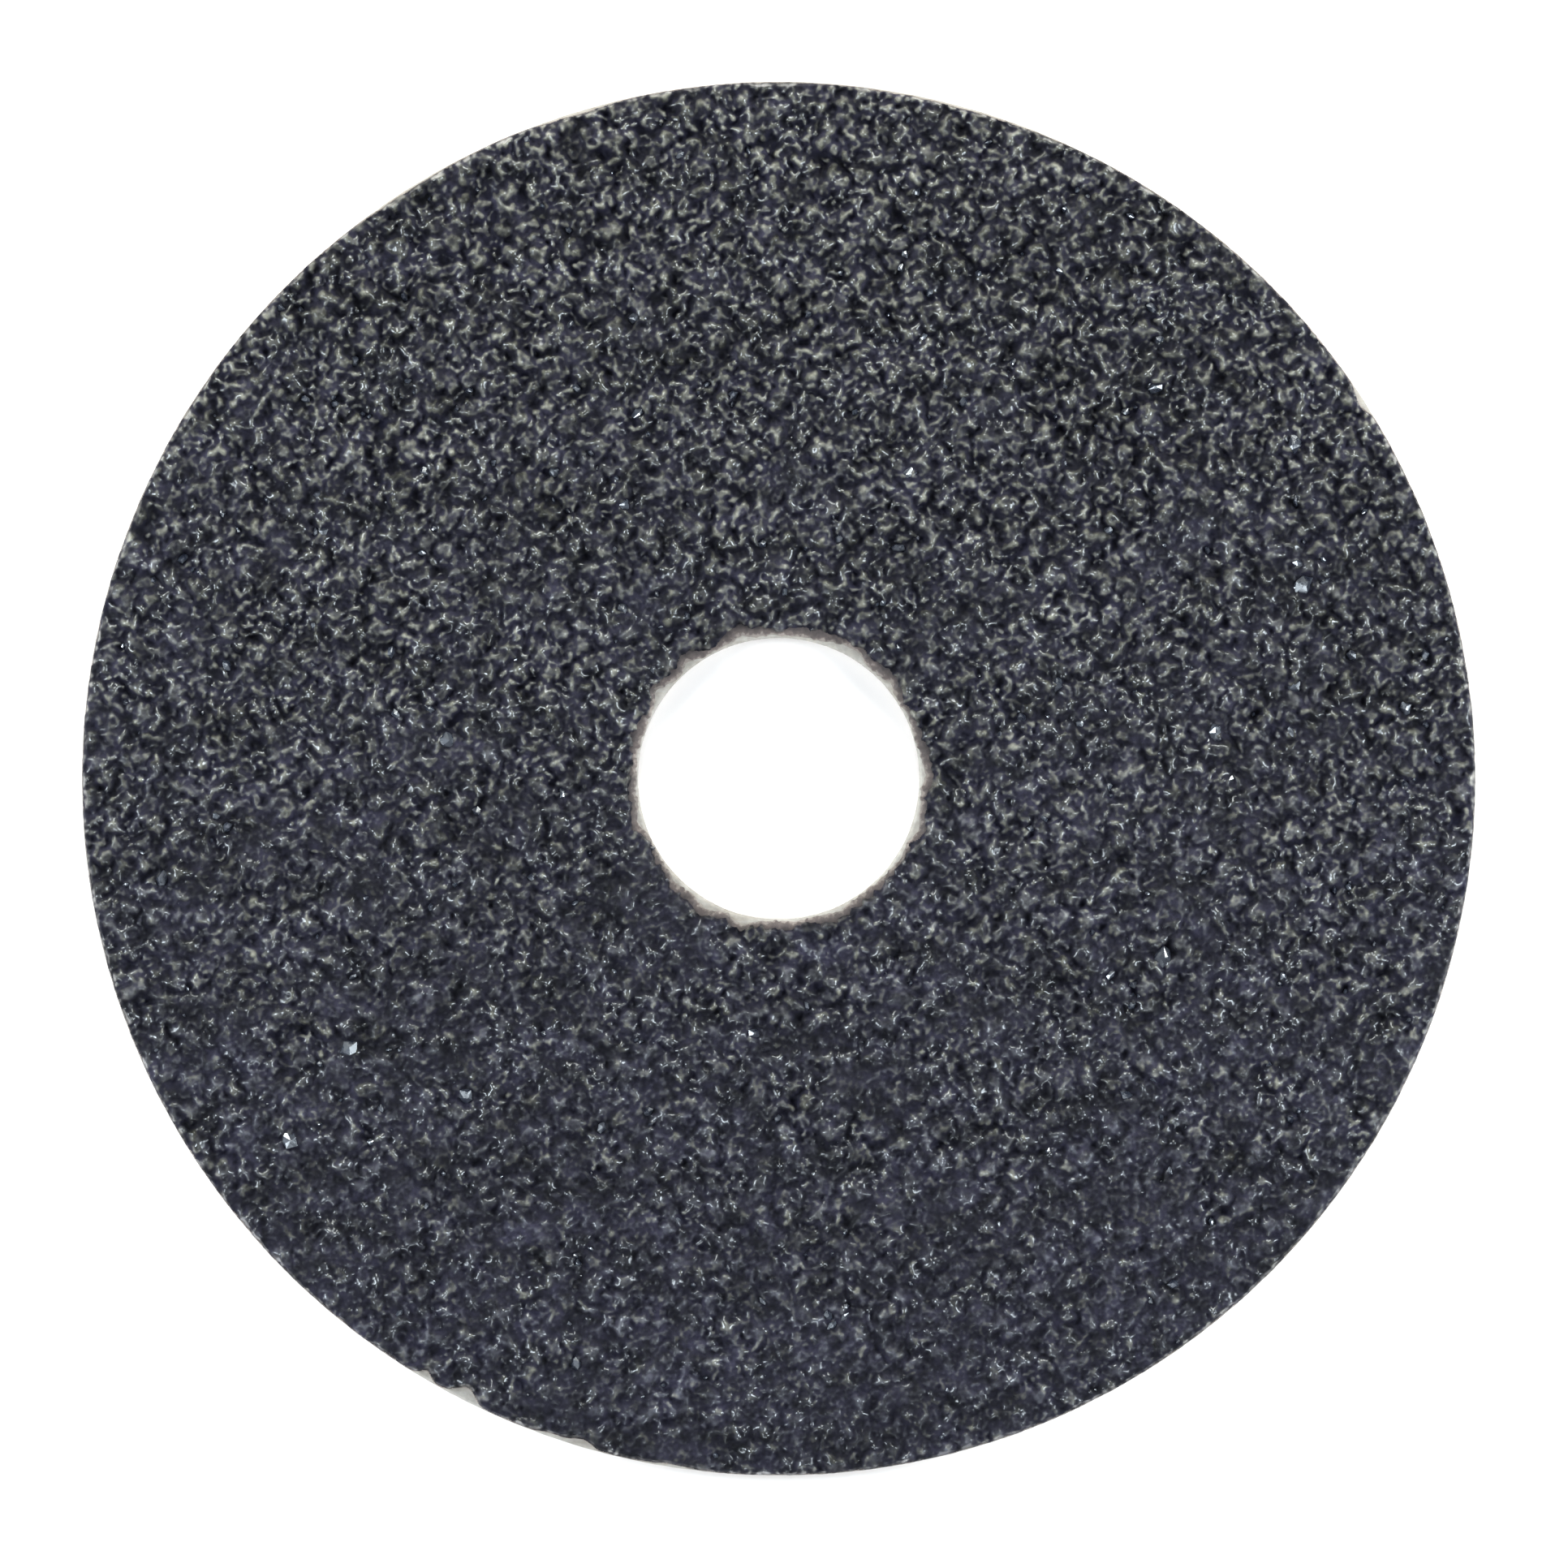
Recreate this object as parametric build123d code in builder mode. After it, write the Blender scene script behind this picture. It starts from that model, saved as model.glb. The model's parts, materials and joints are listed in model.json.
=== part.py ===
"""Coated abrasive carving disc for a mini angle grinder, built up the way such a disc is made.

A disc of vulcanised fibre carries a make coat of phenolic resin. Silicon carbide grains stand upright in that
coat, and a size coat of the same resin fills the ground between them and locks them in. The disc is then
punched to size, which flakes the coats back from the bore and, here and there, from the rim.

Frame: the origin lies on the bore's axis at the back face, and +Z points out of the grain side. Millimetres.
"""

import os
from math import cos, exp, hypot, radians, sin, sqrt, tau
from random import Random

from build123d import *

# Driving dimensions
disc_diameter = 50.0
bore_diameter = 10.1  # clears the 10 mm register on a mini grinder's flange
fibre_thickness = 0.8
make_coat_thickness = 0.12
size_coat_thickness = 0.20
punched_chamfer = 0.06  # the broken edge that the punch leaves on the fibre round the bore

# Where the punch flaked the make coat off the fibre: (angle in degrees, depth, half-width in degrees)
bore_flakes = [
    (0, 0.18, 7),
    (57, 0.40, 9),
    (105, 0.32, 5),
    (135, 0.24, 10),
    (195, 0.34, 6),
    (225, 0.28, 6),
    (247, 0.50, 8),
    (295, 0.20, 5),
    (332, 0.28, 8),
]
rim_flakes = [(33, 0.30, 2), (75, 0.14, 9), (107, 0.45, 4), (122, 0.18, 5), (244, 0.50, 3), (254, 0.22, 5)]
bore_setback = 0.16  # how far the make coat stands back from the bore where it is least flaked
rim_setback = 0.03
flake_roughness = 0.07
size_coat_setback = 0.08  # the size coat stands back from the make coat's own edge by this
edge_steps = 144

# Grain grading by the grit's sieve fractions: (node name, how many, smallest radius, largest radius)
grain_fractions = [
    ("coarse_grains", 330, 0.36, 0.43),
    ("medium_grains", 400, 0.28, 0.36),
    ("fine_grains", 270, 0.20, 0.28),
]
tallest_grain = 0.62  # above the make coat, for the largest grain
shortest_grain = 0.40
grain_gap = 0.06  # resin left between two neighbouring grains
grain_corners = 5

disc_radius = disc_diameter / 2
bore_radius = bore_diameter / 2
make_coat_top = fibre_thickness + make_coat_thickness
size_coat_top = make_coat_top + size_coat_thickness


def flaked_edge(radius, side, setback, flakes, seed):
    """Points round a coat's ragged edge, which stands back from a punched edge to the given side of it."""
    chance = Random(seed)
    points = []
    for step in range(edge_steps):
        angle = 360 * step / edge_steps
        back = setback + flake_roughness * chance.random()
        for centre, depth, half_width in flakes:
            away = (angle - centre + 180) % 360 - 180
            back += depth * exp(-((away / half_width) ** 2))
        reach = radius + side * back
        points.append((reach * cos(radians(angle)), reach * sin(radians(angle))))
    return points


def place_grains():
    """A centre and a radius for each grain of each fraction, the largest first, with none touching another."""
    chance = Random(36)
    cell = 2 * grain_fractions[0][3] + grain_gap
    inner = bore_radius + bore_setback + max(depth for _, depth, _ in bore_flakes) + size_coat_setback
    outer = disc_radius - rim_setback - max(depth for _, depth, _ in rim_flakes) - size_coat_setback
    filled = {}
    placed = {}
    for name, count, smallest, largest in grain_fractions:
        placed[name] = []
        while len(placed[name]) < count:
            radius = chance.uniform(smallest, largest)
            reach = sqrt(chance.uniform((inner + radius) ** 2, (outer - radius) ** 2))
            angle = chance.uniform(0, tau)
            x, y = reach * cos(angle), reach * sin(angle)
            column, row = int(x // cell), int(y // cell)
            neighbours = [
                grain
                for i in (column - 1, column, column + 1)
                for j in (row - 1, row, row + 1)
                for grain in filled.get((i, j), [])
            ]
            if all(hypot(x - u, y - v) > radius + r + grain_gap for u, v, r in neighbours):
                filled.setdefault((column, row), []).append((x, y, radius))
                placed[name].append((x, y, radius))
    return placed


def grain_footprint(x, y, radius, chance):
    """The corners of one grain's outline where it stands in the resin: a stretched, uneven polygon."""
    squeeze = chance.uniform(0.75, 1.0)
    turn = chance.uniform(0, tau)
    corners = []
    for corner in range(grain_corners):
        angle = tau * (corner + chance.uniform(-0.25, 0.25)) / grain_corners
        along, across = radius * cos(angle), radius * squeeze * sin(angle)
        corners.append((x + along * cos(turn) - across * sin(turn), y + along * sin(turn) + across * cos(turn)))
    return corners


def crystal(footprint, x, y, radius, chance):
    """One silicon carbide grain: upright walls through the size coat, then facets up to a leaning ridge."""
    largest = grain_fractions[0][3]
    smallest = grain_fractions[-1][2]
    share = (radius - smallest) / (largest - smallest)
    height = shortest_grain + (tallest_grain - shortest_grain) * share * chance.uniform(0.7, 1.0)
    ridge_angle = chance.uniform(0, tau)
    ridge = [
        (
            x + end * 0.35 * radius * cos(ridge_angle) + 0.2 * radius * chance.uniform(-1, 1),
            y + end * 0.35 * radius * sin(ridge_angle) + 0.2 * radius * chance.uniform(-1, 1),
            make_coat_top + height * drop,
        )
        for end, drop in ((1, 1.0), (-1, chance.uniform(0.8, 0.95)))
    ]
    walls = [(u, v, z) for z in (make_coat_top, size_coat_top) for u, v in footprint]
    return ConvexPolyhedron(walls + ridge).solid()


os.makedirs("parts", exist_ok=True)

# Fibre backing: a punched disc of vulcanised fibre, its bore sharp at the back and broken at the front
with BuildPart() as fibre_backing:
    with BuildSketch():
        Circle(disc_radius)
        Circle(bore_radius, mode=Mode.SUBTRACT)
    extrude(amount=fibre_thickness)
    bore_front_edge = fibre_backing.faces().sort_by(Axis.Z)[-1].inner_wires()[0].edges()
    chamfer(bore_front_edge, punched_chamfer)
fibre_backing.part.label = "fibre_backing"
export_step(fibre_backing.part, "parts/fibre_backing.step", write_pcurves=False)

# Make coat: the first layer of resin, ragged where the punch flaked it
with BuildPart() as make_coat:
    with BuildSketch(Plane.XY.offset(fibre_thickness)):
        with BuildLine():
            Polyline(*flaked_edge(disc_radius, -1, rim_setback, rim_flakes, seed=1), close=True)
        make_face()
        with BuildLine():
            Polyline(*flaked_edge(bore_radius, 1, bore_setback, bore_flakes, seed=2), close=True)
        make_face(mode=Mode.SUBTRACT)
    extrude(amount=make_coat_thickness)
make_coat.part.label = "make_coat"
export_step(make_coat.part, "parts/make_coat.step", write_pcurves=False)

# Grains: every one a separate crystal, grouped by the sieve fraction it belongs to
shape_chance = Random(7)
footprints = []
for name, grains in place_grains().items():
    crystals = []
    for x, y, radius in grains:
        footprint = grain_footprint(x, y, radius, shape_chance)
        footprints.append(footprint)
        crystals.append(crystal(footprint, x, y, radius, shape_chance))
    with BuildPart() as grain_fraction:
        add(crystals, mode=Mode.REPLACE)
    grain_fraction.part.label = name
    export_step(grain_fraction.part, f"parts/{name}.step", write_pcurves=False)

# Size coat: the second layer of resin, one sheet whose holes are the bore's edge and a pocket for each grain
size_rim = flaked_edge(disc_radius, -1, rim_setback + size_coat_setback, rim_flakes, seed=1)
size_bore = flaked_edge(bore_radius, 1, bore_setback + size_coat_setback, bore_flakes, seed=2)
with BuildPart() as size_coat:
    with BuildSketch(Plane.XY.offset(make_coat_top)):
        add(Face(Wire.make_polygon(size_rim), [Wire.make_polygon(hole) for hole in [size_bore, *footprints]]))
    extrude(amount=size_coat_thickness)
size_coat.part.label = "size_coat"
export_step(size_coat.part, "parts/size_coat.step", write_pcurves=False)
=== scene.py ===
"""The looks of a coated carving disc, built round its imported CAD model.

More than twenty thousand silicon carbide grains stand on the make coat. The size coat is a skin computed
from the same grains: it rounds their edges, pools between them and dries in folds, and here and there a grain
breaks through it, bare. Lengths are in millimetres until a mesh is made, and in metres in the studio.
"""

import json
from math import cos, hypot, pi, radians, sin, sqrt, tau

import bmesh
import bpy
import numpy as np
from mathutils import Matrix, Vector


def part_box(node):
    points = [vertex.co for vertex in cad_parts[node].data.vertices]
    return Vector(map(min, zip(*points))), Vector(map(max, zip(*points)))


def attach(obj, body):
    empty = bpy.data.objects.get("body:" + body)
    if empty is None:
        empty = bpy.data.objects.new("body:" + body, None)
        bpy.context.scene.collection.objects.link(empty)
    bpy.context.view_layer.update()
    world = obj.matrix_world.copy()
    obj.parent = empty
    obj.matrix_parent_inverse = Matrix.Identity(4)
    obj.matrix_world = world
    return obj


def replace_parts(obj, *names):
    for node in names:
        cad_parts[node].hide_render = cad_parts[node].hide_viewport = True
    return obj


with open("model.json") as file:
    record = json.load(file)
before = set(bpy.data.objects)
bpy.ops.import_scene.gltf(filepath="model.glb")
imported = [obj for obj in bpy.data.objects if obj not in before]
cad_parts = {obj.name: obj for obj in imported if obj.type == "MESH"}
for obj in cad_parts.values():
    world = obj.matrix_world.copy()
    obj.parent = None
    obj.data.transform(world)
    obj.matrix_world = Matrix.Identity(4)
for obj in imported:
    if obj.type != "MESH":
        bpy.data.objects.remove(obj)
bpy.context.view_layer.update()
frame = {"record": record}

MM = 0.001

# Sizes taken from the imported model
board_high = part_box("fibre_backing")[1]
disc_radius = board_high.x / MM
board_top = board_high.z / MM
bore_radius = next(m for m in frame["record"]["mounts"] if m["name"] == "bore")["dims"]["r_mm"]
make_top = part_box("make_coat")[1].z / MM
tallest_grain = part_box("coarse_grains")[1].z / MM - make_top

# Where the punch flaked the coats off the fibre: (angle in degrees, depth, half-width in degrees)
bore_flakes = [
    (2, 0.14, 5),
    (40, 0.10, 4),
    (62, 0.26, 8),
    (105, 0.16, 4),
    (128, 0.12, 4),
    (145, 0.20, 5),
    (197, 0.16, 4),
    (225, 0.14, 4),
    (241, 0.26, 5),
    (256, 0.24, 4),
    (295, 0.14, 4),
    (325, 0.12, 4),
    (340, 0.22, 5),
]
rim_flakes = [
    (33, 0.18, 1.2),
    (75, 0.05, 8),
    (107, 0.10, 3),
    (122, 0.06, 5),
    (239.4, 0.24, 0.7),
    (243, 0.38, 1.2),
    (251, 0.12, 1.5),
    (253.5, 0.22, 1.1),
    (261, 0.08, 2),
]
bore_setback = 0.07
rim_setback = 0.012
skin_setback = 0.24  # of the size coat's edge from the make coat's, at the bore

# Grains: (CAD node, most of them, smallest radius, largest radius)
grain_fractions = [
    ("coarse_grains", 3000, 0.30, 0.46),
    ("medium_grains", 7000, 0.15, 0.25),
    ("fine_grains", 14000, 0.08, 0.15),
]
tries_per_grain = 9
closeness = 0.62  # neighbours stand at least this share of their two radii apart
shortest_grain = 0.22
crystal_kind_count = 28
bare_share = 0.05  # of the finest grains stand bare of resin, and fewer of the coarser ones
wetted = 0.72  # a bare grain's resin stops at this share of its height

# Size coat
cell = 0.04  # spacing of the skin's grid
sectors = 14
edge_roundness = 0.025  # how far the resin rounds a grain's edges
valley_roundness = 0.02  # and the valleys between grains
resin_floor = make_top + 0.05  # where the resin lies between grains, on average
film = 0.02  # its thickness over the grains
steepest = 1.7  # no part of the skin is steeper than this
steepest_edge = 2.6  # but for its cut edges
thickening_span = 36  # the resin goes from thin to thick over this length, from the far edge to the near one; over it the painted warm light on the crests fades too
thick_unevenness = 0.12
level_unevenness = 0.08
thick_rise = 0.12  # how much higher the resin's level is where it is thick
deepest_hollow = 0.09
clump_height = 0.065
settling = 0.55  # how much the resin levels the grains' relief where it is thick
skin_softness = 0.038
fine_unevenness = 0.01
# Folds in the skin: (spacing, share of the surface, height where the resin is thin, height where it is thick)
folds = [(0.22, 0.20, 0.12, 0.07), (0.10, 0.28, 0.06, 0.06), (0.075, 0.34, 0.01, 0.07)]


# ---------------------------------------------------------------- fields on a grid


def blurred(field, sigma):
    """A field smoothed by a Gaussian of that many millimetres, by way of its Fourier transform."""
    rows = np.fft.fftfreq(field.shape[0], cell)[:, None]
    columns = np.fft.rfftfreq(field.shape[1], cell)[None, :]
    fade = np.exp(-2 * (pi * sigma) ** 2 * (rows**2 + columns**2))
    return np.fft.irfft2(np.fft.rfft2(field) * fade, s=field.shape)


def soft_noise(shape, sigma, seed):
    """Smooth noise of unit spread whose features are a few sigma across."""
    field = blurred(np.random.default_rng(seed).standard_normal(shape), sigma)
    return (field - field.mean()) / field.std()


def soft_larger(first, second, softness):
    """The larger of two fields, with a rounded valley where they cross."""
    return second + softness * np.logaddexp(0, (first - second) / softness)


def warped(field, reach, sigma, seed):
    """Moves a field's features about by smooth noise, so that straight edges become wavy."""
    rows, columns = field.shape
    row = np.arange(rows)[:, None] + reach / cell * soft_noise(field.shape, sigma, seed)
    column = np.arange(columns)[None, :] + reach / cell * soft_noise(field.shape, sigma, seed + 1)
    row, column = np.clip(row, 0, rows - 1.001), np.clip(column, 0, columns - 1.001)
    low, left = row.astype(int), column.astype(int)
    up, across = row - low, column - left
    lower = field[low, left] * (1 - across) + field[low, left + 1] * across
    upper = field[low + 1, left] * (1 - across) + field[low + 1, left + 1] * across
    return lower * (1 - up) + upper * up


def limit_slope(height):
    """Fills the foot of every step with a fillet, so that the surface is nowhere steeper than steepest."""
    for _ in range(8):
        for axis in (0, 1):
            for shift in (1, -1):
                height = np.maximum(height, np.roll(height, shift, axis) - steepest * cell)
        for shift in ((1, 1), (1, -1), (-1, 1), (-1, -1)):
            height = np.maximum(height, np.roll(height, shift, (0, 1)) - steepest * cell * sqrt(2))
    return height


# ---------------------------------------------------------------- the coats' edges


def ragged(angles, waves, seed):
    """Smooth uneven values from -1 to 1 round a circle, with about that many bumps."""
    knots = np.random.default_rng(seed).uniform(-1, 1, waves)
    place = angles / tau * waves
    before = np.floor(place).astype(int)
    share = place - before
    share = share * share * (3 - 2 * share)
    return knots[before % waves] * (1 - share) + knots[(before + 1) % waves] * share


def flaked_gap(angles, setback, flakes, waves, seed):
    """How far a coat's edge stands back from the punched edge at each angle."""
    gap = setback * (1 + 0.5 * ragged(angles, waves, seed) + 0.5 * ragged(angles, 4 * waves, seed + 1))
    for centre, depth, half_width in flakes:
        away = (np.degrees(angles) - centre + 180) % 360 - 180
        unevenness = 1 + 0.25 * ragged(angles, waves, seed + 2)
        gap = gap + depth * unevenness * np.exp(-((away / half_width) ** 2))
    return np.maximum(gap, 0.0)


def make_coat_edges(angles):
    """The make coat's inner and outer radius at each angle."""
    inner = bore_radius + flaked_gap(angles, bore_setback, bore_flakes, 70, 11)
    outer = disc_radius - flaked_gap(angles, rim_setback, rim_flakes, 300, 12)
    return inner, outer


def size_coat_edges(angles):
    """The size coat's inner and outer radius at each angle, always inside the make coat's."""
    inner, outer = make_coat_edges(angles)
    inner = inner + skin_setback * (1 + 0.6 * ragged(angles, 40, 21) + 0.35 * ragged(angles, 190, 22))
    outer = outer - 0.02 * (1 + ragged(angles, 900, 23))
    return inner, outer


def make_coat_level(inside):
    """The make coat's upper surface at a distance in from its edge, to which it feathers out."""
    return board_top + (make_top - board_top) * (0.25 + 0.75 * np.clip(inside / 0.3, 0, 1))


# ---------------------------------------------------------------- meshes


def add_mesh(name, points, faces, material, smooth=True):
    """A piece from points in millimetres. faces is an array of corner numbers, all with as many corners."""
    mesh = bpy.data.meshes.new(name)
    faces = np.asarray(faces, np.int32)
    mesh.vertices.add(len(points))
    mesh.vertices.foreach_set("co", (np.asarray(points) * MM).astype(np.float32).ravel())
    mesh.loops.add(faces.size)
    mesh.loops.foreach_set("vertex_index", faces.ravel())
    mesh.polygons.add(len(faces))
    mesh.polygons.foreach_set("loop_start", np.arange(0, faces.size, faces.shape[1], dtype=np.int32))
    mesh.polygons.foreach_set("use_smooth", np.full(len(faces), smooth))
    mesh.update(calc_edges=True)
    mesh.materials.append(material)
    piece = bpy.data.objects.new(name, mesh)
    bpy.context.scene.collection.objects.link(piece)
    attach(piece, "root")
    return piece


def label_points(piece, label, values):
    """Stores a number at each of a piece's vertices, for its material."""
    stored = piece.data.attributes.new(label, "FLOAT", "POINT")
    stored.data.foreach_set("value", np.asarray(values, np.float32))


def ring_mesh(name, rings, material):
    """A closed ring. Each of rings is (radii, heights) at every angle, and the last joins the first."""
    count = len(rings[0][0])
    around = np.arange(count)
    angles = around * tau / count
    points = [np.column_stack((r * np.cos(angles), r * np.sin(angles), z * np.ones(count))) for r, z in rings]
    onward = (around + 1) % count
    faces = []
    for index in range(len(rings)):
        here = index * count
        there = (index + 1) % len(rings) * count
        faces.append(np.column_stack((here + around, here + onward, there + onward, there + around)))
    return add_mesh(name, np.concatenate(points), np.concatenate(faces), material)


# ---------------------------------------------------------------- materials


def new_material(name):
    """A material, its node tree and its Principled shader."""
    material = bpy.data.materials.new(name)
    material.use_nodes = True
    tree = material.node_tree
    return material, tree, tree.nodes["Principled BSDF"]


def noise(tree, scale, detail=3.0, roughness=0.55, stretch=(1, 1, 1)):
    """A noise texture in object coordinates. scale is in features per metre."""
    where = tree.nodes.new("ShaderNodeTexCoord")
    mapping = tree.nodes.new("ShaderNodeMapping")
    mapping.inputs["Scale"].default_value = stretch
    texture = tree.nodes.new("ShaderNodeTexNoise")
    texture.inputs["Scale"].default_value = scale
    texture.inputs["Detail"].default_value = detail
    texture.inputs["Roughness"].default_value = roughness
    tree.links.new(where.outputs["Object"], mapping.inputs["Vector"])
    tree.links.new(mapping.outputs["Vector"], texture.inputs["Vector"])
    return texture.outputs["Fac"]


def ramp(tree, value, stops):
    """Colours along a value: stops is a list of (position, colour)."""
    node = tree.nodes.new("ShaderNodeValToRGB")
    elements = node.color_ramp.elements
    while len(elements) < len(stops):
        elements.new(0.5)
    for element, (position, colour) in zip(elements, stops):
        element.position = position
        element.color = (*colour, 1)
    tree.links.new(value, node.inputs["Fac"])
    return node.outputs["Color"]


def spread(tree, value, low, high, to_low, to_high):
    """Maps a value's range from low..high to another range, clamped."""
    node = tree.nodes.new("ShaderNodeMapRange")
    for socket, number in zip(("From Min", "From Max", "To Min", "To Max"), (low, high, to_low, to_high)):
        node.inputs[socket].default_value = number
    tree.links.new(value, node.inputs["Value"])
    return node.outputs["Result"]


def mix_colours(tree, share, first, second, blend="MIX"):
    """A mix of two colours by a share, which may be a socket or a number, as may the colours."""
    node = tree.nodes.new("ShaderNodeMix")
    node.data_type = "RGBA"
    node.blend_type = blend
    sockets = [socket for socket in node.inputs if socket.enabled]
    for socket, value in zip(sockets, (share, first, second)):
        if isinstance(value, bpy.types.NodeSocket):
            tree.links.new(value, socket)
        else:
            socket.default_value = value if isinstance(value, (int, float)) else (*value, 1)
    return next(socket for socket in node.outputs if socket.enabled)


def mottled(tree, colour, scale, detail, darkest, lightest, stretch=(1, 1, 1)):
    """A colour made uneven by noise, between a darkest and a lightest share of itself."""
    uneven = noise(tree, scale, detail, stretch=stretch)
    shade = ramp(tree, uneven, [(0.35, (darkest,) * 3), (0.65, (lightest,) * 3)])
    return mix_colours(tree, 1.0, colour, shade, "MULTIPLY")


def difference(tree, first, second):
    """One value less another, kept between 0 and 1."""
    node = tree.nodes.new("ShaderNodeMath")
    node.operation = "SUBTRACT"
    node.use_clamp = True
    tree.links.new(first, node.inputs[0])
    tree.links.new(second, node.inputs[1])
    return node.outputs["Value"]


def bump(tree, height, strength, distance):
    """A normal from a height."""
    node = tree.nodes.new("ShaderNodeBump")
    node.inputs["Strength"].default_value = strength
    node.inputs["Distance"].default_value = distance
    tree.links.new(height, node.inputs["Height"])
    return node.outputs["Normal"]


def attribute(tree, name):
    """A number stored at the mesh's vertices."""
    node = tree.nodes.new("ShaderNodeAttribute")
    node.attribute_name = name
    return node.outputs["Fac"]


def crystal_material():
    """Silicon carbide: blue-black broken faces of uneven tone."""
    material, tree, shader = new_material("silicon_carbide_crystal")
    tint = ramp(
        tree,
        noise(tree, 1400, 4),
        [(0.32, (0.008, 0.010, 0.018)), (0.5, (0.016, 0.019, 0.030)), (0.68, (0.035, 0.042, 0.055))],
    )
    tree.links.new(tint, shader.inputs["Base Color"])
    tree.links.new(spread(tree, noise(tree, 5200, 2), 0.35, 0.65, 0.22, 0.42), shader.inputs["Roughness"])
    shader.inputs["IOR"].default_value = 2.4
    return material


def size_resin_material():
    """Cured phenolic resin over black grit, with painted shade and painted light in its colour: blue-black in
    the hollows, lighter on the rises and lighter still on the crests. The crests are olive toward the far
    edge, partly the thin resin's own tint and partly painted warm light from the lamp on that side, and
    purplish grey toward the near edge, where the resin is thick. Some of the crests are glossy."""
    material, tree, shader = new_material("size_resin")
    crest = attribute(tree, "crest")
    # painted shade and light: the resin's colour is darker in the hollows and lighter on the rises, by the
    # rise field
    ground_painted_shade_and_light = ramp(
        tree,
        spread(tree, attribute(tree, "rise"), -1.0, 1.0, 0.0, 1.0),
        [
            (0.0, (0.0040, 0.0036, 0.0084)),
            (0.5, (0.0147, 0.0131, 0.0212)),
            (1.0, (0.0284, 0.0263, 0.0330)),
        ],
    )
    # painted warm light: the crests are olive and lighter toward the far edge, on the warm lamp's side, and
    # fade to purplish grey toward the near edge; random spots keep some olive there too
    thin_spots = spread(tree, noise(tree, 1500, 1), 0.52, 0.62, 0.0, 0.8)
    painted_light_fade = difference(tree, attribute(tree, "thick"), thin_spots)
    crest_tint_and_painted_light = mix_colours(tree, painted_light_fade, (0.146, 0.139, 0.109), (0.068, 0.068, 0.078))
    # the crests take the lighter crest colour: partly the resin's own tint, partly painted light on the
    # crests
    colour = mix_colours(tree, spread(tree, crest, 0.0, 1.8, 0.0, 1.0), ground_painted_shade_and_light, crest_tint_and_painted_light)
    colour = mottled(tree, colour, 3000, 4, 0.45, 1.35)
    colour = mottled(tree, colour, 900, 2, 0.5, 1.5)
    colour = mottled(tree, colour, 220, 3, 0.74, 1.28, (0.6, 2.4, 1))
    tree.links.new(colour, shader.inputs["Base Color"])
    dullness = spread(tree, crest, -0.8, 0.8, 0.80, 0.34)
    glossy_spots = spread(tree, noise(tree, 2500, 2), 0.54, 0.66, 0.0, 0.22)
    tree.links.new(difference(tree, dullness, glossy_spots), shader.inputs["Roughness"])
    dull_spots = spread(tree, noise(tree, 1300, 1), 0.45, 0.56, 0.95, 0.0)
    gloss = difference(tree, spread(tree, crest, -0.3, 1.0, 0.0, 1.1), dull_spots)
    tree.links.new(gloss, shader.inputs["Coat Weight"])
    shader.inputs["Coat Roughness"].default_value = 0.22
    shader.inputs["Specular IOR Level"].default_value = 0.15
    tree.links.new(bump(tree, noise(tree, 8000, 3), 0.1, 0.00002), shader.inputs["Normal"])
    return material


def make_resin_material():
    """Cured phenolic resin on fibre: reddish brown, and paler and broken up at its edge, where it is thin."""
    material, tree, shader = new_material("make_resin")
    wear = spread(tree, noise(tree, 5000, 4), 0.3, 0.7, -0.25, 0.35)
    cover = difference(tree, attribute(tree, "cover"), wear)
    tint = ramp(
        tree,
        cover,
        [
            (0.0, (0.25, 0.205, 0.175)),
            (0.2, (0.115, 0.085, 0.075)),
            (0.6, (0.070, 0.052, 0.047)),
            (1.0, (0.035, 0.025, 0.026)),
        ],
    )
    tree.links.new(mottled(tree, tint, 1800, 4, 0.75, 1.25), shader.inputs["Base Color"])
    tree.links.new(spread(tree, noise(tree, 3000, 2), 0.3, 0.7, 0.4, 0.65), shader.inputs["Roughness"])
    tree.links.new(bump(tree, noise(tree, 6000, 4), 0.5, 0.00003), shader.inputs["Normal"])
    return material


def fibre_material():
    """Vulcanised fibre: cream cotton board with fine fibres and faint mottling."""
    material, tree, shader = new_material("vulcanised_fibre")
    mottle = ramp(
        tree,
        noise(tree, 350, 6, 0.65),
        [(0.30, (0.335, 0.285, 0.235)), (0.5, (0.39, 0.345, 0.295)), (0.7, (0.44, 0.40, 0.35))],
    )
    fibres = spread(tree, noise(tree, 900, 5, 0.7, (1, 9, 3)), 0.4, 0.7, 0.0, 0.35)
    colour = mix_colours(tree, fibres, mottle, (0.48, 0.45, 0.42))
    tree.links.new(mottled(tree, colour, 4000, 3, 0.85, 1.08), shader.inputs["Base Color"])
    tree.links.new(spread(tree, noise(tree, 1200, 3), 0.3, 0.7, 0.5, 0.75), shader.inputs["Roughness"])
    tree.links.new(bump(tree, noise(tree, 2600, 6, 0.7, (1, 3, 1)), 0.5, 0.00004), shader.inputs["Normal"])
    return material


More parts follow.
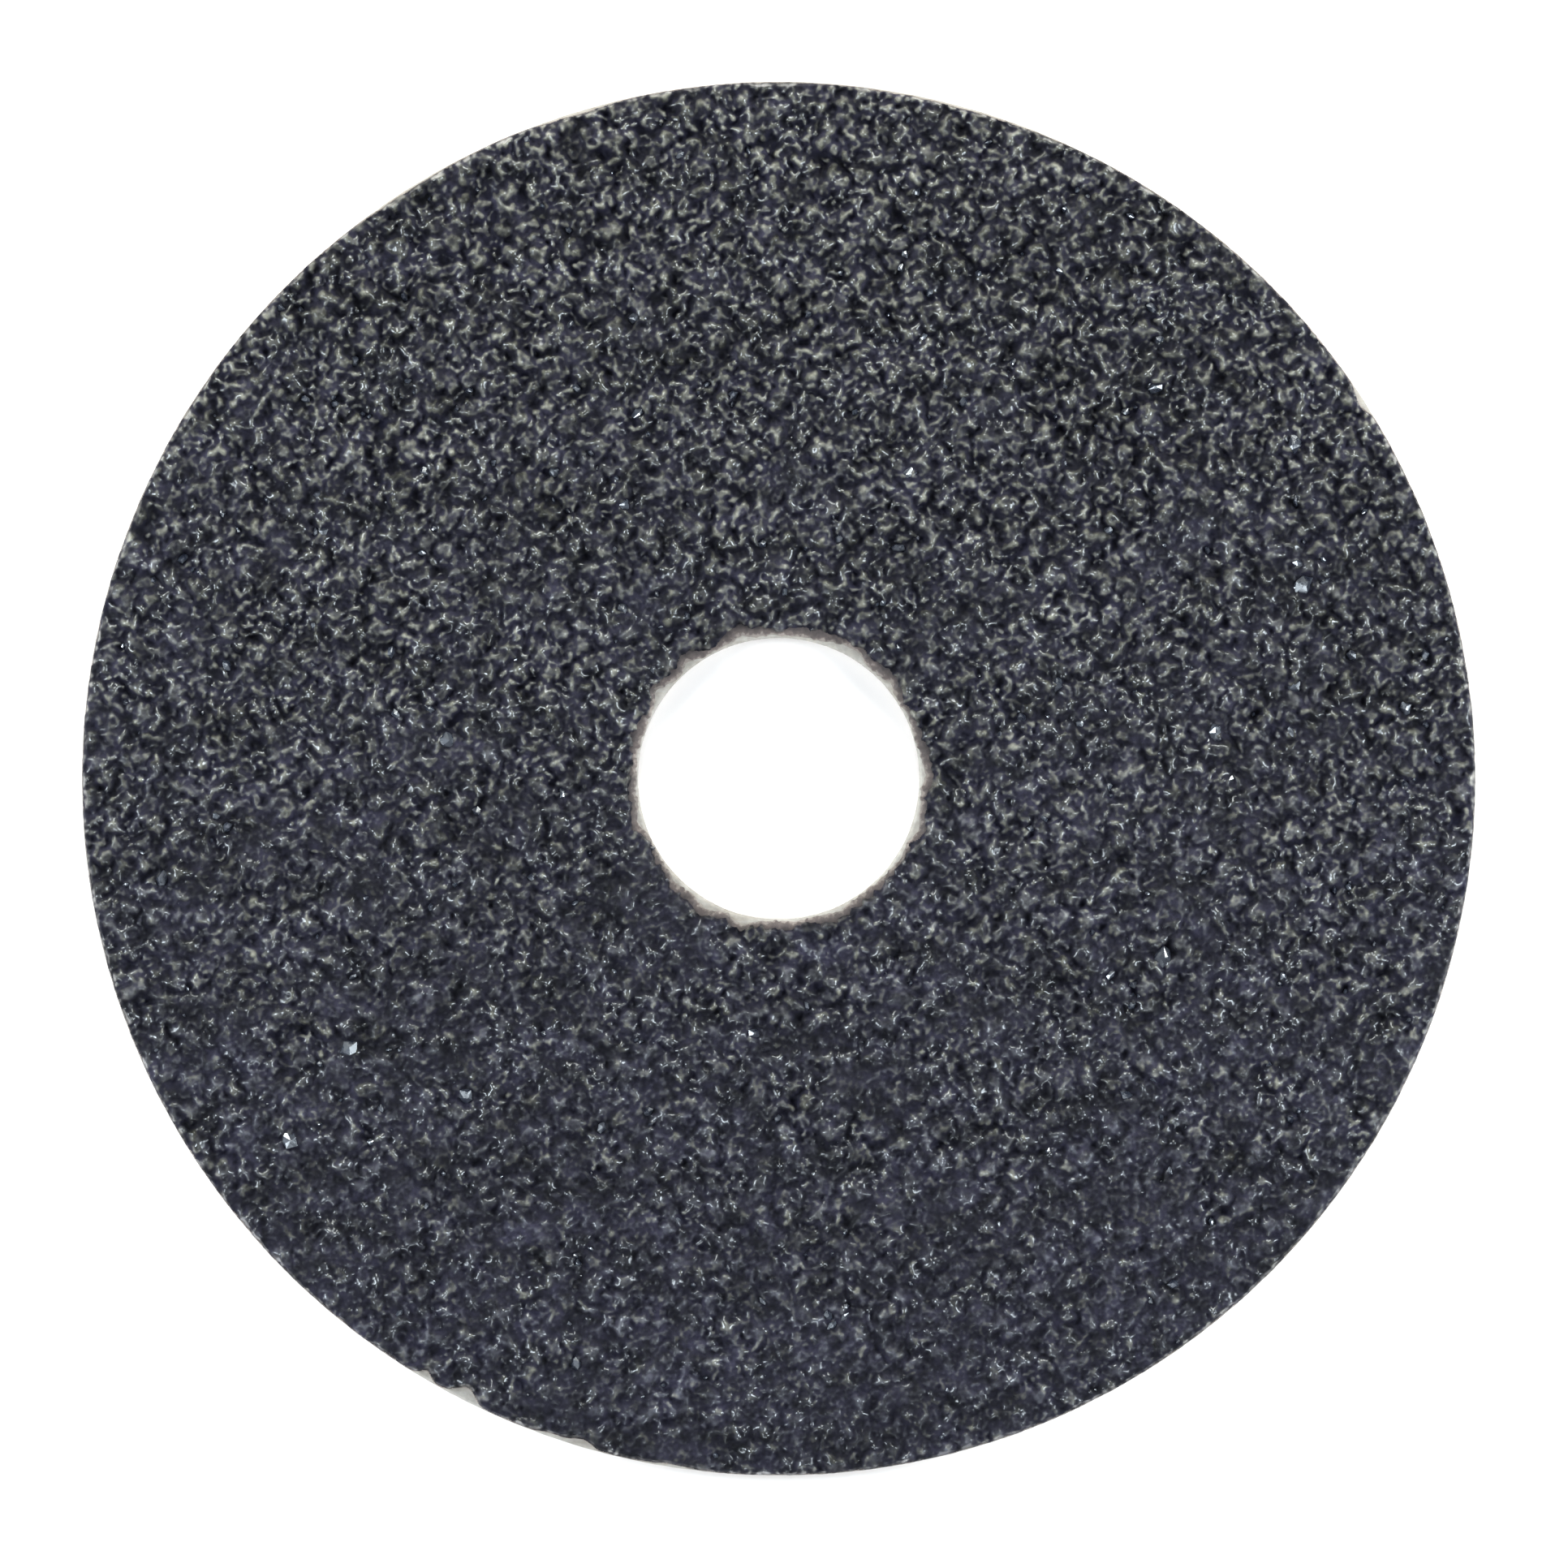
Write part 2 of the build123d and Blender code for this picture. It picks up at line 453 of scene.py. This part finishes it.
def floor_material():
    """A plain pale studio floor, warm enough to look white under the cool lamps. Past their reach it glows
    faintly, so that it stays pale from a low angle too."""
    material, tree, shader = new_material("studio_floor")
    pale = ramp(tree, noise(tree, 6, 2), [(0.3, (0.95, 0.875, 0.83)), (0.7, (0.96, 0.885, 0.84))])
    tree.links.new(pale, shader.inputs["Base Color"])
    shader.inputs["Roughness"].default_value = 0.9
    where = tree.nodes.new("ShaderNodeTexCoord")
    distance = tree.nodes.new("ShaderNodeVectorMath")
    distance.operation = "LENGTH"
    tree.links.new(where.outputs["Object"], distance.inputs[0])
    dark, bright = (0, 0, 0), (0.65, 0.65, 0.65)
    glow = ramp(tree, distance.outputs["Value"], [(0.10, dark), (0.15, bright), (0.6, bright), (1.0, dark)])
    tree.links.new(glow, shader.inputs["Emission Color"])
    shader.inputs["Emission Strength"].default_value = 1.0
    return material


# ---------------------------------------------------------------- grains


def crystal_kinds(count, seed):
    """Irregular convex crystals about one unit tall and one in radius, as (corners, triangles)."""
    chance = np.random.default_rng(seed)
    storeys = [(5, -0.05, 0.10, 0.75, 1.0), (5, 0.30, 0.65, 0.70, 1.0), (3, 0.80, 1.0, 0.05, 0.55)]
    kinds = []
    for _ in range(count):
        shape = bmesh.new()
        for sides, low, high, near, far in storeys:
            turn = chance.uniform(0, tau)
            for side in range(sides):
                angle = turn + tau * (side + chance.uniform(-0.3, 0.3)) / sides
                reach = chance.uniform(near, far)
                shape.verts.new((reach * cos(angle), reach * sin(angle), chance.uniform(low, high)))
        hull = bmesh.ops.convex_hull(shape, input=shape.verts)
        left_over = set(hull["geom_interior"] + hull["geom_unused"])
        inner = [part for part in left_over if isinstance(part, bmesh.types.BMVert)]
        bmesh.ops.delete(shape, geom=inner, context="VERTS")
        bmesh.ops.recalc_face_normals(shape, faces=shape.faces)
        shape.verts.index_update()
        corners = np.array([corner.co for corner in shape.verts])
        triangles = np.array([[corner.index for corner in face.verts] for face in shape.faces])
        kinds.append((corners, triangles))
        shape.free()
    return kinds


def place_grains(seed):
    """Positions and radii of the grains, largest first, as {fraction: [(x, y, radius)]}."""
    chance = np.random.default_rng(seed)
    reach = grain_fractions[0][3] * 2
    filled = {}
    placed = {}
    for name, count, smallest, largest in grain_fractions:
        tries = count * tries_per_grain
        radii = chance.uniform(smallest, largest, tries)
        distances = np.sqrt(chance.uniform(bore_radius**2, disc_radius**2, tries))
        angles = chance.uniform(0, tau, tries)
        inner, outer = size_coat_edges(angles)
        fits = (distances - 0.3 * radii > inner) & (distances < outer)
        xs, ys = distances * np.cos(angles), distances * np.sin(angles)
        placed[name] = []
        for x, y, radius in np.column_stack((xs, ys, radii))[fits].tolist():
            column, row = int(x // reach), int(y // reach)
            near = [
                grain
                for i in (column - 1, column, column + 1)
                for j in (row - 1, row, row + 1)
                for grain in filled.get((i, j), ())
            ]
            if all(hypot(x - u, y - v) > closeness * (radius + r) for u, v, r in near):
                filled.setdefault((column, row), []).append((x, y, radius))
                placed[name].append((x, y, radius))
                if len(placed[name]) == count:
                    break
    return placed


def shape_grain(x, y, radius, kind, height, chance):
    """One grain's corners in place, and its upward planes: their slopes in x and in y, and their levels at
    its centre."""
    points, triangles = kind
    turn = chance.uniform(0, tau)
    stretch = radius * np.array([chance.uniform(0.95, 1.3), chance.uniform(0.75, 1.0)])
    lean = chance.uniform(-0.35, 0.35, 2)
    flat = points[:, :2] * stretch + points[:, 2:] * lean * radius
    along = flat[:, 0] * cos(turn) - flat[:, 1] * sin(turn)
    across = flat[:, 0] * sin(turn) + flat[:, 1] * cos(turn)
    corners = np.column_stack((along, across, points[:, 2] * height + make_top))
    a, b, c = (corners[triangles[:, k]] for k in range(3))
    normals = np.cross(b - a, c - a)
    upward = normals[:, 2] > 1e-6
    normals, a = normals[upward], a[upward]
    slope_x = -normals[:, 0] / normals[:, 2]
    slope_y = -normals[:, 1] / normals[:, 2]
    level = a[:, 2] - slope_x * a[:, 0] - slope_y * a[:, 1]
    return corners + (x, y, 0), (slope_x, slope_y, level)


def make_grains(kinds, seed):
    """Shapes every grain. Gives the bare ones as {fraction: [(corners, triangles)]}, and all their planes."""
    chance = np.random.default_rng(seed)
    largest = grain_fractions[0][3]
    smallest = grain_fractions[-1][2]
    bare, planes = {}, []
    for name, grains in place_grains(seed + 1).items():
        bare[name] = []
        for x, y, radius in grains:
            kind = kinds[chance.integers(len(kinds))]
            share = (radius - smallest) / (largest - smallest)
            full_height = shortest_grain + (tallest_grain - shortest_grain) * share
            height = full_height * chance.uniform(0.72, 1.0)
            corners, (slope_x, slope_y, level) = shape_grain(x, y, radius, kind, height, chance)
            whole = np.hypot(corners[:, 0], corners[:, 1]).max() < disc_radius - 0.1
            if whole and chance.random() < bare_share * (1.05 - share) ** 2:
                bare[name].append((corners, kind[1]))
                level = level - (1 - wetted) * height
            planes.append((x, y, radius, slope_x, slope_y, level))
    return bare, planes


# ---------------------------------------------------------------- size coat


def grain_relief(planes, xs, ys, level):
    """The upper envelope of the grains' rounded planes and of the resin's level between them."""
    total = np.exp((level - make_top) / valley_roundness)
    for x, y, radius, slope_x, slope_y, top in planes:
        reach = 1.5 * radius
        left, right = int((x - reach - xs[0]) / cell), int((x + reach - xs[0]) / cell) + 2
        low, high = int((y - reach - ys[0]) / cell), int((y + reach - ys[0]) / cell) + 2
        along = top[:, None] + slope_x[:, None] * (xs[left:right] - x)
        across = slope_y[:, None] * (ys[low:high] - y)
        heights = along[:, None, :] + across[:, :, None]
        lowest = heights.min(axis=0)
        crowding = np.exp((lowest - heights) / edge_roundness).sum(axis=0)
        rounded = lowest - edge_roundness * np.log(crowding)
        total[low:high, left:right] += np.exp(np.clip((rounded - make_top) / valley_roundness, -30, 40))
    return make_top + valley_roundness * np.log(total)


def skin_height(planes, xs, ys):
    """The size coat over a grid, as four fields: its height, how far each place stands above its near
    surroundings and above its wider ones, and how thick the resin lies, from 0 to 1."""
    shape = (len(ys), len(xs))
    nearness = 0.5 - ys[:, None] / thickening_span
    thick = np.clip(nearness + thick_unevenness * soft_noise(shape, 0.6, 35), 0, 1)
    level = resin_floor + level_unevenness * soft_noise(shape, 0.35, 31) + thick_rise * (thick - 0.5)
    height = grain_relief(planes, xs, ys, level)
    height = soft_larger(height, blurred(height, 0.12) - deepest_hollow, 0.02)
    height = height + clump_height * soft_noise(shape, 0.28, 37) * (1.2 - thick)
    height = warped(height, 0.08, 0.12, 40)
    height = warped(height, 0.03, 0.05, 44)
    height = height + settling * thick * (blurred(height, 0.12) - height)
    for number, (spacing, share, thin_height, thick_height) in enumerate(folds):
        ridges = np.clip(1 - np.abs(soft_noise(shape, spacing, 50 + number)) / share, 0, 1)
        height = height + (thin_height * (1 - thick) + thick_height * thick) * ridges
    height = limit_slope(height + film)
    height = blurred(height, skin_softness) + fine_unevenness * soft_noise(shape, 0.05, 36)
    crest = (height - blurred(height, 0.09)) / 0.04
    rise = (height - blurred(height, 0.35)) / 0.15
    return height, crest, rise, thick


def size_coat_pieces(planes, material):
    """The size coat as sectors of one skin, whose borders come down to the make coat."""
    ticks = np.arange(-disc_radius - 1.0, disc_radius + 1.0, cell)
    height, crest, rise, thick = skin_height(planes, ticks, ticks)
    x, y = np.meshgrid(ticks, ticks)
    distance = np.hypot(x, y)
    angle = np.arctan2(y, x) % tau
    inner, outer = size_coat_edges(angle)
    make_inner, make_outer = make_coat_edges(angle)
    inside = np.minimum(distance - inner, outer - distance)
    kept = inside > -0.35 * cell

    # the outermost corners move onto the coat's own edge, and the skin comes down to it
    edge = np.where(distance - inner < outer - distance, inner, outer)
    scale = np.where(inside < 0.65 * cell, edge / np.maximum(distance, cell), 1.0)
    x, y, distance = x * scale, y * scale, distance * scale
    inside = np.maximum(np.minimum(distance - inner, outer - distance), 0)
    border = make_coat_level(np.minimum(distance - make_inner, make_outer - distance)) - 0.01
    height = np.minimum(height, border + steepest_edge * inside)
    height = np.maximum(height, border + np.minimum(0.5 * inside, 0.03))

    cells = kept[:-1, :-1] & kept[1:, :-1] & kept[:-1, 1:] & kept[1:, 1:]
    middle = (ticks[:-1] + ticks[1:]) / 2
    turn = np.arctan2(middle[:, None], middle[None, :]) % tau
    sector = (turn // (tau / sectors)).astype(int)
    size = len(ticks)
    for number in range(sectors):
        rows, columns = np.nonzero(cells & (sector == number))
        corner = rows * size + columns
        quads = np.column_stack((corner, corner + 1, corner + size + 1, corner + size))
        used, quads = np.unique(quads, return_inverse=True)
        points = np.column_stack([field.ravel()[used] for field in (x, y, height)])
        name = f"size_coat_sector_{number + 1}"
        piece = add_mesh(name, points, quads.reshape(-1, 4), material)
        # the material paints light on crests and rises, shade in hollows, and fades the crests' painted warm
        # light by thick
        for label, field in (("crest", crest), ("rise", rise), ("thick", thick)):
            label_points(piece, label, field.ravel()[used])
        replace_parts(piece, "size_coat")


# ---------------------------------------------------------------- make coat and board


def make_coat_piece(material):
    """The make coat: a thin film that feathers out, unevenly, where it flaked."""
    count = 2400
    angles = np.arange(count) * tau / count
    inner, outer = make_coat_edges(angles)
    steps = np.array([0.0, 0.03, 0.08, 0.16, 0.3, 0.6])
    rings = [(inner + step, make_coat_level(step)) for step in steps]
    rings += [(outer - step, make_coat_level(step)) for step in reversed(steps)]
    rings += [(outer, board_top), (inner, board_top)]
    piece = ring_mesh("make_coat_film", rings, material)
    cover = np.clip(steps / 0.4, 0, 1)
    label_points(piece, "cover", np.repeat([*cover, *reversed(cover), 0, 0], count))
    return piece


def cut_wall(radius, outward, seed):
    """The rings of a punched wall, from the back up: its plies, its fuzz, and the front edge that the punch
    drew down."""
    count = 1440
    angles = np.arange(count) * tau / count
    plies, steps = 5, 20
    rings = []
    for step in range(steps + 1):
        share = step / steps
        recess = 0.014 + 0.006 * cos(tau * plies * share)
        recess = recess + 0.006 * ragged(angles, 420, seed + step) + 0.004 * ragged(angles, 60, seed)
        recess = recess + 0.06 * max(0.0, share - 0.9) / 0.1
        rings.append((radius - outward * recess, share * (board_top - 0.012)))
    return rings


def board_piece(material):
    """The fibre board, between its two punched walls."""
    count = 1440
    angles = np.arange(count) * tau / count
    front = board_top - 0.002
    rings = cut_wall(bore_radius, -1, 51)
    for inset in (0.14, 0.4, 0.9, 2.0):
        rings.append((bore_radius + inset + 0 * angles, front + 0.001 * ragged(angles, 300, 52)))
    for inset in (2.0, 0.6, 0.14):
        rings.append((disc_radius - inset + 0 * angles, front + 0.001 * ragged(angles, 700, 53)))
    rings += reversed(cut_wall(disc_radius, 1, 91))
    rings += [(disc_radius - 0.2 + 0 * angles, 0), (bore_radius + 0.2 + 0 * angles, 0)]
    return ring_mesh("fibre_board", rings, material)


# ---------------------------------------------------------------- the object

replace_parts(board_piece(fibre_material()), "fibre_backing")
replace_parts(make_coat_piece(make_resin_material()), "make_coat")

crystal = crystal_material()
bare_grains, grain_planes = make_grains(crystal_kinds(crystal_kind_count, 61), 62)
for name, grains in bare_grains.items():
    offsets = np.cumsum([0] + [len(corners) for corners, _ in grains])
    points = np.concatenate([corners for corners, _ in grains])
    triangles = np.concatenate([shape + offset for (_, shape), offset in zip(grains, offsets)])
    crystals_name = name.replace("grains", "crystals")
    piece = add_mesh(crystals_name, points, triangles, crystal, smooth=False)
    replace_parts(piece, name)

size_coat_pieces(grain_planes, size_resin_material())

# ---------------------------------------------------------------- the studio

floor_mesh = bpy.data.meshes.new("studio_floor")
half = 1.5
floor_corners = [(-half, -half, 0), (half, -half, 0), (half, half, 0), (-half, half, 0)]
floor_mesh.from_pydata(floor_corners, [], [(0, 1, 2, 3)])
floor_mesh.materials.append(floor_material())
floor = bpy.data.objects.new("studio_floor", floor_mesh)
bpy.context.scene.collection.objects.link(floor)


def softbox(name, place, size, power, colour):
    """A square area lamp that faces the middle of the floor."""
    lamp = bpy.data.lights.new(name, "AREA")
    lamp.size = size
    lamp.energy = power
    lamp.color = colour
    stand = bpy.data.objects.new(name, lamp)
    stand.location = place
    stand.rotation_euler = stand.location.to_track_quat("Z", "Y").to_euler()
    bpy.context.scene.collection.objects.link(stand)


softbox("overhead", (0, 0, 0.60), size=0.40, power=0.52, colour=(0.78, 0.87, 1.0))

warm, cool = (0.94, 1.0, 0.97), (0.82, 0.93, 1.0)
lamp_distance, lamp_height, lamp_size = 0.12, 0.06, 0.05
# The low lamps round the disc: (azimuth in degrees, power, colour)
low_lamps = [(90, 0.17, warm), (0, 0.21, cool), (180, 0.21, cool), (270, 0.08, cool)]
for number, (azimuth, power, colour) in enumerate(low_lamps, 1):
    turn = radians(azimuth)
    place = (lamp_distance * cos(turn), lamp_distance * sin(turn), lamp_height)
    softbox(f"low_{number}", place, lamp_size, power, colour)

world = bpy.data.worlds.new("studio")
world.use_nodes = True
background = world.node_tree.nodes["Background"]
background.inputs["Color"].default_value = (0.85, 0.92, 1.0, 1)
background.inputs["Strength"].default_value = 0.29
bpy.context.scene.world = world
bpy.context.scene.view_settings.view_transform = "Standard"

# The camera looks straight down, and the disc sits a little up and left in the frame
disc_share = 0.889  # of the frame's width
frame_width = 2 * disc_radius * MM / disc_share
off_centre = 0.0034 * frame_width
camera_height = 0.45
lens = bpy.data.cameras.new("camera")
lens.sensor_width = 36.0
lens.lens = lens.sensor_width * (camera_height - board_top * MM) / frame_width
lens.clip_start = 0.01
camera = bpy.data.objects.new("camera", lens)
camera.location = (off_centre, -off_centre, camera_height)
bpy.context.scene.collection.objects.link(camera)
bpy.context.scene.camera = camera
